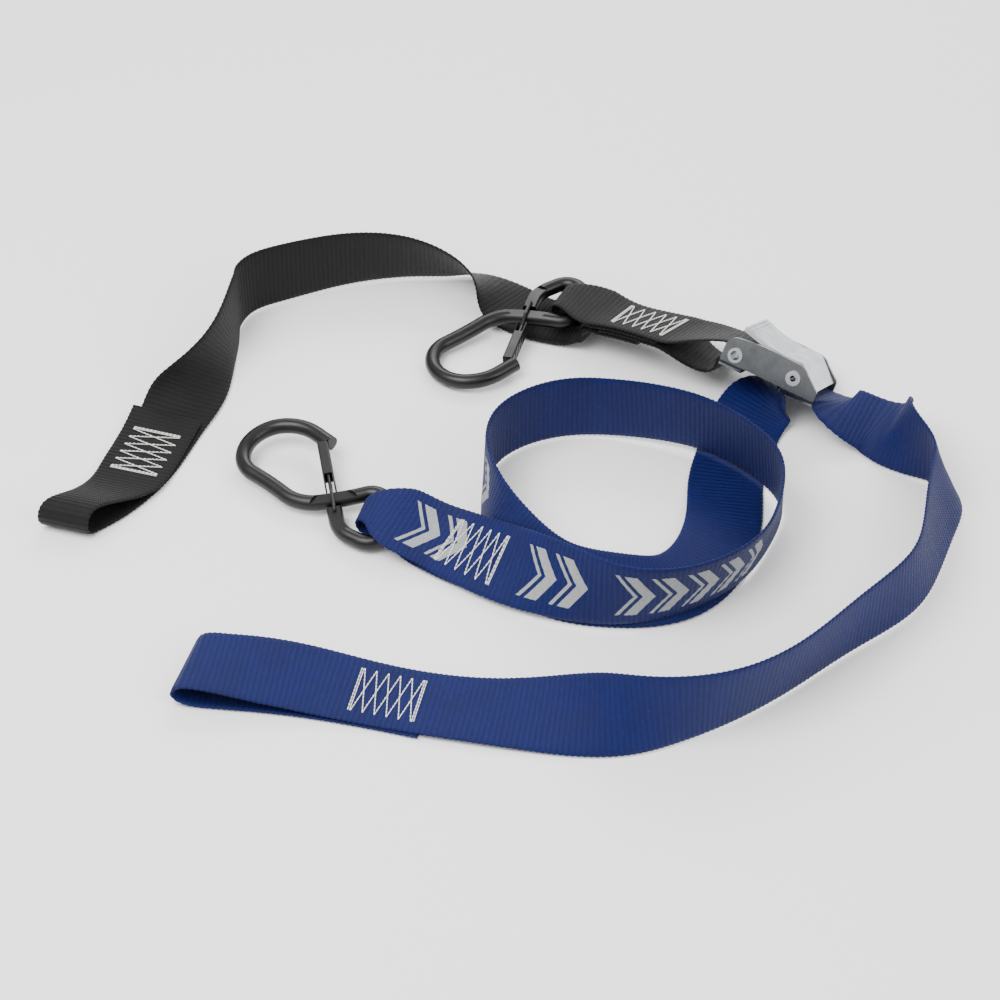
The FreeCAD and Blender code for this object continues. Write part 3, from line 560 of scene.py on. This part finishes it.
def powder_coat(name, tint, rough):
    n = Nodes(name)
    place = n.add("TexCoord").outputs["Object"]
    grain = n.noise(place, 1500.0, 2.0)
    broad = n.noise(place, 90.0, 4.0)
    scuff = n.ramp(n.noise(place, 420.0, 5.0, 0.75), 0.66, 0.74, 0.0, 0.5)
    color = n.mix(broad, tint, [c * 1.7 for c in tint[:3]] + [1.0])
    color = n.mix(scuff, color, (0.014, 0.014, 0.015, 1.0))
    n.set(color=color, rough=n.ramp(broad, 0.3, 0.7, rough - 0.05, rough + 0.08), specular=0.35, coat=0.05,
          coat_rough=0.3)
    n.bump(grain, 0.25, 0.00012)
    return n.material


def plated(name, tint, rough, wear):
    """Bright zinc: metal with a slight blue-grey mottle, fine drawn lines and handling marks."""
    n = Nodes(name)
    place = n.add("TexCoord").outputs["Object"]
    mottle = n.noise(place, 130.0, 5.0, 0.6)
    lines = n.noise(n.add("Mapping", {"Vector": place, "Rotation": (0.2, 0.1, 0.5),
                                      "Scale": (200.0, 2600.0, 900.0)}).outputs[0], 1.0, 2.0)
    color = n.mix(n.ramp(mottle, 0.3, 0.7), tint, [c * wear for c in tint[:3]] + [1.0])
    n.set(color=color, metal=1.0, rough=n.ramp(n.math("ADD", n.math("MULTIPLY", mottle, 0.6), n.math(
        "MULTIPLY", lines, 0.4)), 0.3, 0.7, rough - 0.08, rough + 0.12))
    n.bump(n.math("ADD", n.math("MULTIPLY", mottle, 0.5), n.math("MULTIPLY", lines, 0.5)), 0.18, 0.00015)
    return n.material


def thread_material():
    n = Nodes("white_twisted_thread")
    place = n.add("TexCoord").outputs["Object"]
    ply = n.noise(place, 1800.0, 3.0)
    n.set(color=n.mix(ply, (0.55, 0.55, 0.52, 1), (0.88, 0.88, 0.86, 1)), rough=0.6, sheen=0.3)
    n.bump(ply, 0.5, 0.0001)
    return n.material


# ---- the object ---------------------------------------------------------------------------------
tail, strand = tail_run(), strand_run()
anchor, soft = anchor_run(), soft_loop_run()
load = tail[::-1] + base_turn()[1:-1] + strand
turned = [(centre, wide * -1, half) for centre, wide, half in load]

eye_end = at_distance(turned, Vector((-0.044, -0.031, 0.014)))
after_stitch = at_distance(turned, Vector((0.012, -0.072, 0.0165)))
front = at_distance(turned, Vector((0.089, -0.091, 0.0218)))
inside_left = at_distance(turned, Vector((-0.006, -0.016, 0.0195)))
prints = [(eye_end - 0.034, 2), (after_stitch - 0.034, 2), (front - 0.05, 5), (inside_left - 0.005, 1)]
# The pale colour also tints the painted highlights and glints; 0.5 and 0.2 are the strengths of the painted
# glints.
blue = woven("blue_polyester_webbing", (0.0002, 0.0025, 0.036, 1), (0.0004, 0.0075, 0.105, 1), 0.5, prints)
black = woven("black_polyester_webbing", (0.0008, 0.0008, 0.0009, 1), (0.0055, 0.0055, 0.0057, 1), 0.2)
load_band, load_length = webbing("load_webbing", turned, blue,
                                 ["load_webbing_tail", "load_webbing_strand"])
anchor_band, anchor_length = webbing("anchor_strap", anchor, black, ["anchor_webbing"])
soft_band, soft_length = webbing("soft_loop_strap", soft, black, ["soft_loop_webbing"])

white = thread_material()
handle_stitch = stitch_block("handle_box_stitch", tail, at_distance(tail, Vector((-0.036, -0.145, 0.003))),
                             0.031, -1, white, "handle_stitching")
load_stitch = stitch_block("load_end_box_stitch", strand,
                           at_distance(strand, Vector((-0.003, -0.061, 0.015))) - 0.003, 0.033, -1, white,
                           "load_end_stitching")
anchor_stitch = stitch_block("anchor_box_stitch", anchor,
                             at_distance(anchor, Vector((0.0645, 0.1285, 0.024))), 0.033, 1, white,
                             "anchor_stitching")
soft_stitch = stitch_block("soft_loop_box_stitch", soft, at_distance(soft, Vector((-0.185, 0.018, 0.004))),
                           0.032, 1, white, "soft_loop_stitching")

coat = powder_coat("black_powder_coat", (0.0012, 0.0012, 0.0013, 1), 0.34)
sheet_coat = powder_coat("black_gate_sheet", (0.004, 0.004, 0.0042, 1), 0.38)
wire_coat = powder_coat("blackened_wire", (0.007, 0.007, 0.0074, 1), 0.34)
zinc = plated("zinc_plated_steel", (0.62, 0.65, 0.67, 1), 0.34, 0.8)
# Painted shade: the buckle frame's side plates get a darker copy of the plated zinc colour in place of the
# shade they sit in.
shaded_side_zinc = plated("zinc_side_plates_painted_shade", (0.2, 0.21, 0.22, 1), 0.3, 0.62)
rivet = plated("zinc_plated_rivet", (0.66, 0.68, 0.7, 1), 0.24, 0.8)
cast = plated("cast_cam", (0.5, 0.51, 0.54, 1), 0.45, 0.7)
coil = plated("bright_spring_wire", (0.6, 0.6, 0.62, 1), 0.22, 0.8)
finishes = {"hook_a_body": coat, "hook_b_body": coat, "hook_a_gate_sleeve": sheet_coat,
            "hook_b_gate_sleeve": sheet_coat, "hook_a_gate_wire": wire_coat, "hook_b_gate_wire": wire_coat,
            "buckle_frame": shaded_side_zinc, "cam_lever": zinc, "anchor_rivet": rivet, "pivot_rivet": rivet,
            "cam_block": cast, "cam_spring": coil}
for node, finish in finishes.items():
    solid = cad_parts[node]
    if not solid.material_slots:
        solid.data.materials.append(finish)
    for holder in solid.material_slots:
        holder.material = finish


# ---- floor, light and camera --------------------------------------------------------------------
def studio_floor():
    mesh = bpy.data.meshes.new("floor")
    half = 4.0
    corners = [(-half, -half, 0), (half, -half, 0), (half, half, 0), (-half, half, 0)]
    mesh.from_pydata(corners, [], [(0, 1, 2, 3)])
    n = Nodes("pale_floor")
    n.set(color=(0.97, 0.97, 0.97, 1), rough=0.9, specular=0.05)
    mesh.materials.append(n.material)
    floor = bpy.data.objects.new("floor", mesh)
    bpy.context.scene.collection.objects.link(floor)


def area_light(name, place, target, size, power):
    data = bpy.data.lights.new(name, "AREA")
    data.shape = "RECTANGLE"
    data.size, data.size_y = size
    data.energy = power
    lamp = bpy.data.objects.new(name, data)
    lamp.location = place
    lamp.rotation_euler = (Vector(target) - Vector(place)).to_track_quat("-Z", "Y").to_euler()
    bpy.context.scene.collection.objects.link(lamp)


def camera():
    """Looks down at 41 degrees on the layout, as a 94 mm lens sees it from 1.3 m."""
    data = bpy.data.cameras.new("camera")
    data.lens = 93.6
    data.sensor_width = 36.0
    eye = bpy.data.objects.new("camera", data)
    elevation, distance = math.radians(41.0), 1.3
    eye.location = SHIFT + Vector((0, -math.cos(elevation), math.sin(elevation))) * distance
    eye.rotation_euler = Euler((math.radians(90) - elevation, 0, 0))
    bpy.context.scene.collection.objects.link(eye)
    bpy.context.scene.camera = eye


studio_floor()
area_light("key", (-0.5, -0.35, 1.1), (0, 0, 0), (0.9, 0.7), 20)
area_light("fill", (0.9, -0.6, 0.8), (0, 0, 0), (0.8, 0.8), 7)
area_light("back", (0.2, 1.1, 0.9), (0, 0.05, 0), (1.2, 0.5), 11)
world = bpy.data.worlds.new("studio")
world.use_nodes = True
world.node_tree.nodes["Background"].inputs["Color"].default_value = (1, 1, 1, 1)
world.node_tree.nodes["Background"].inputs["Strength"].default_value = 1.0
bpy.context.scene.world = world
camera()
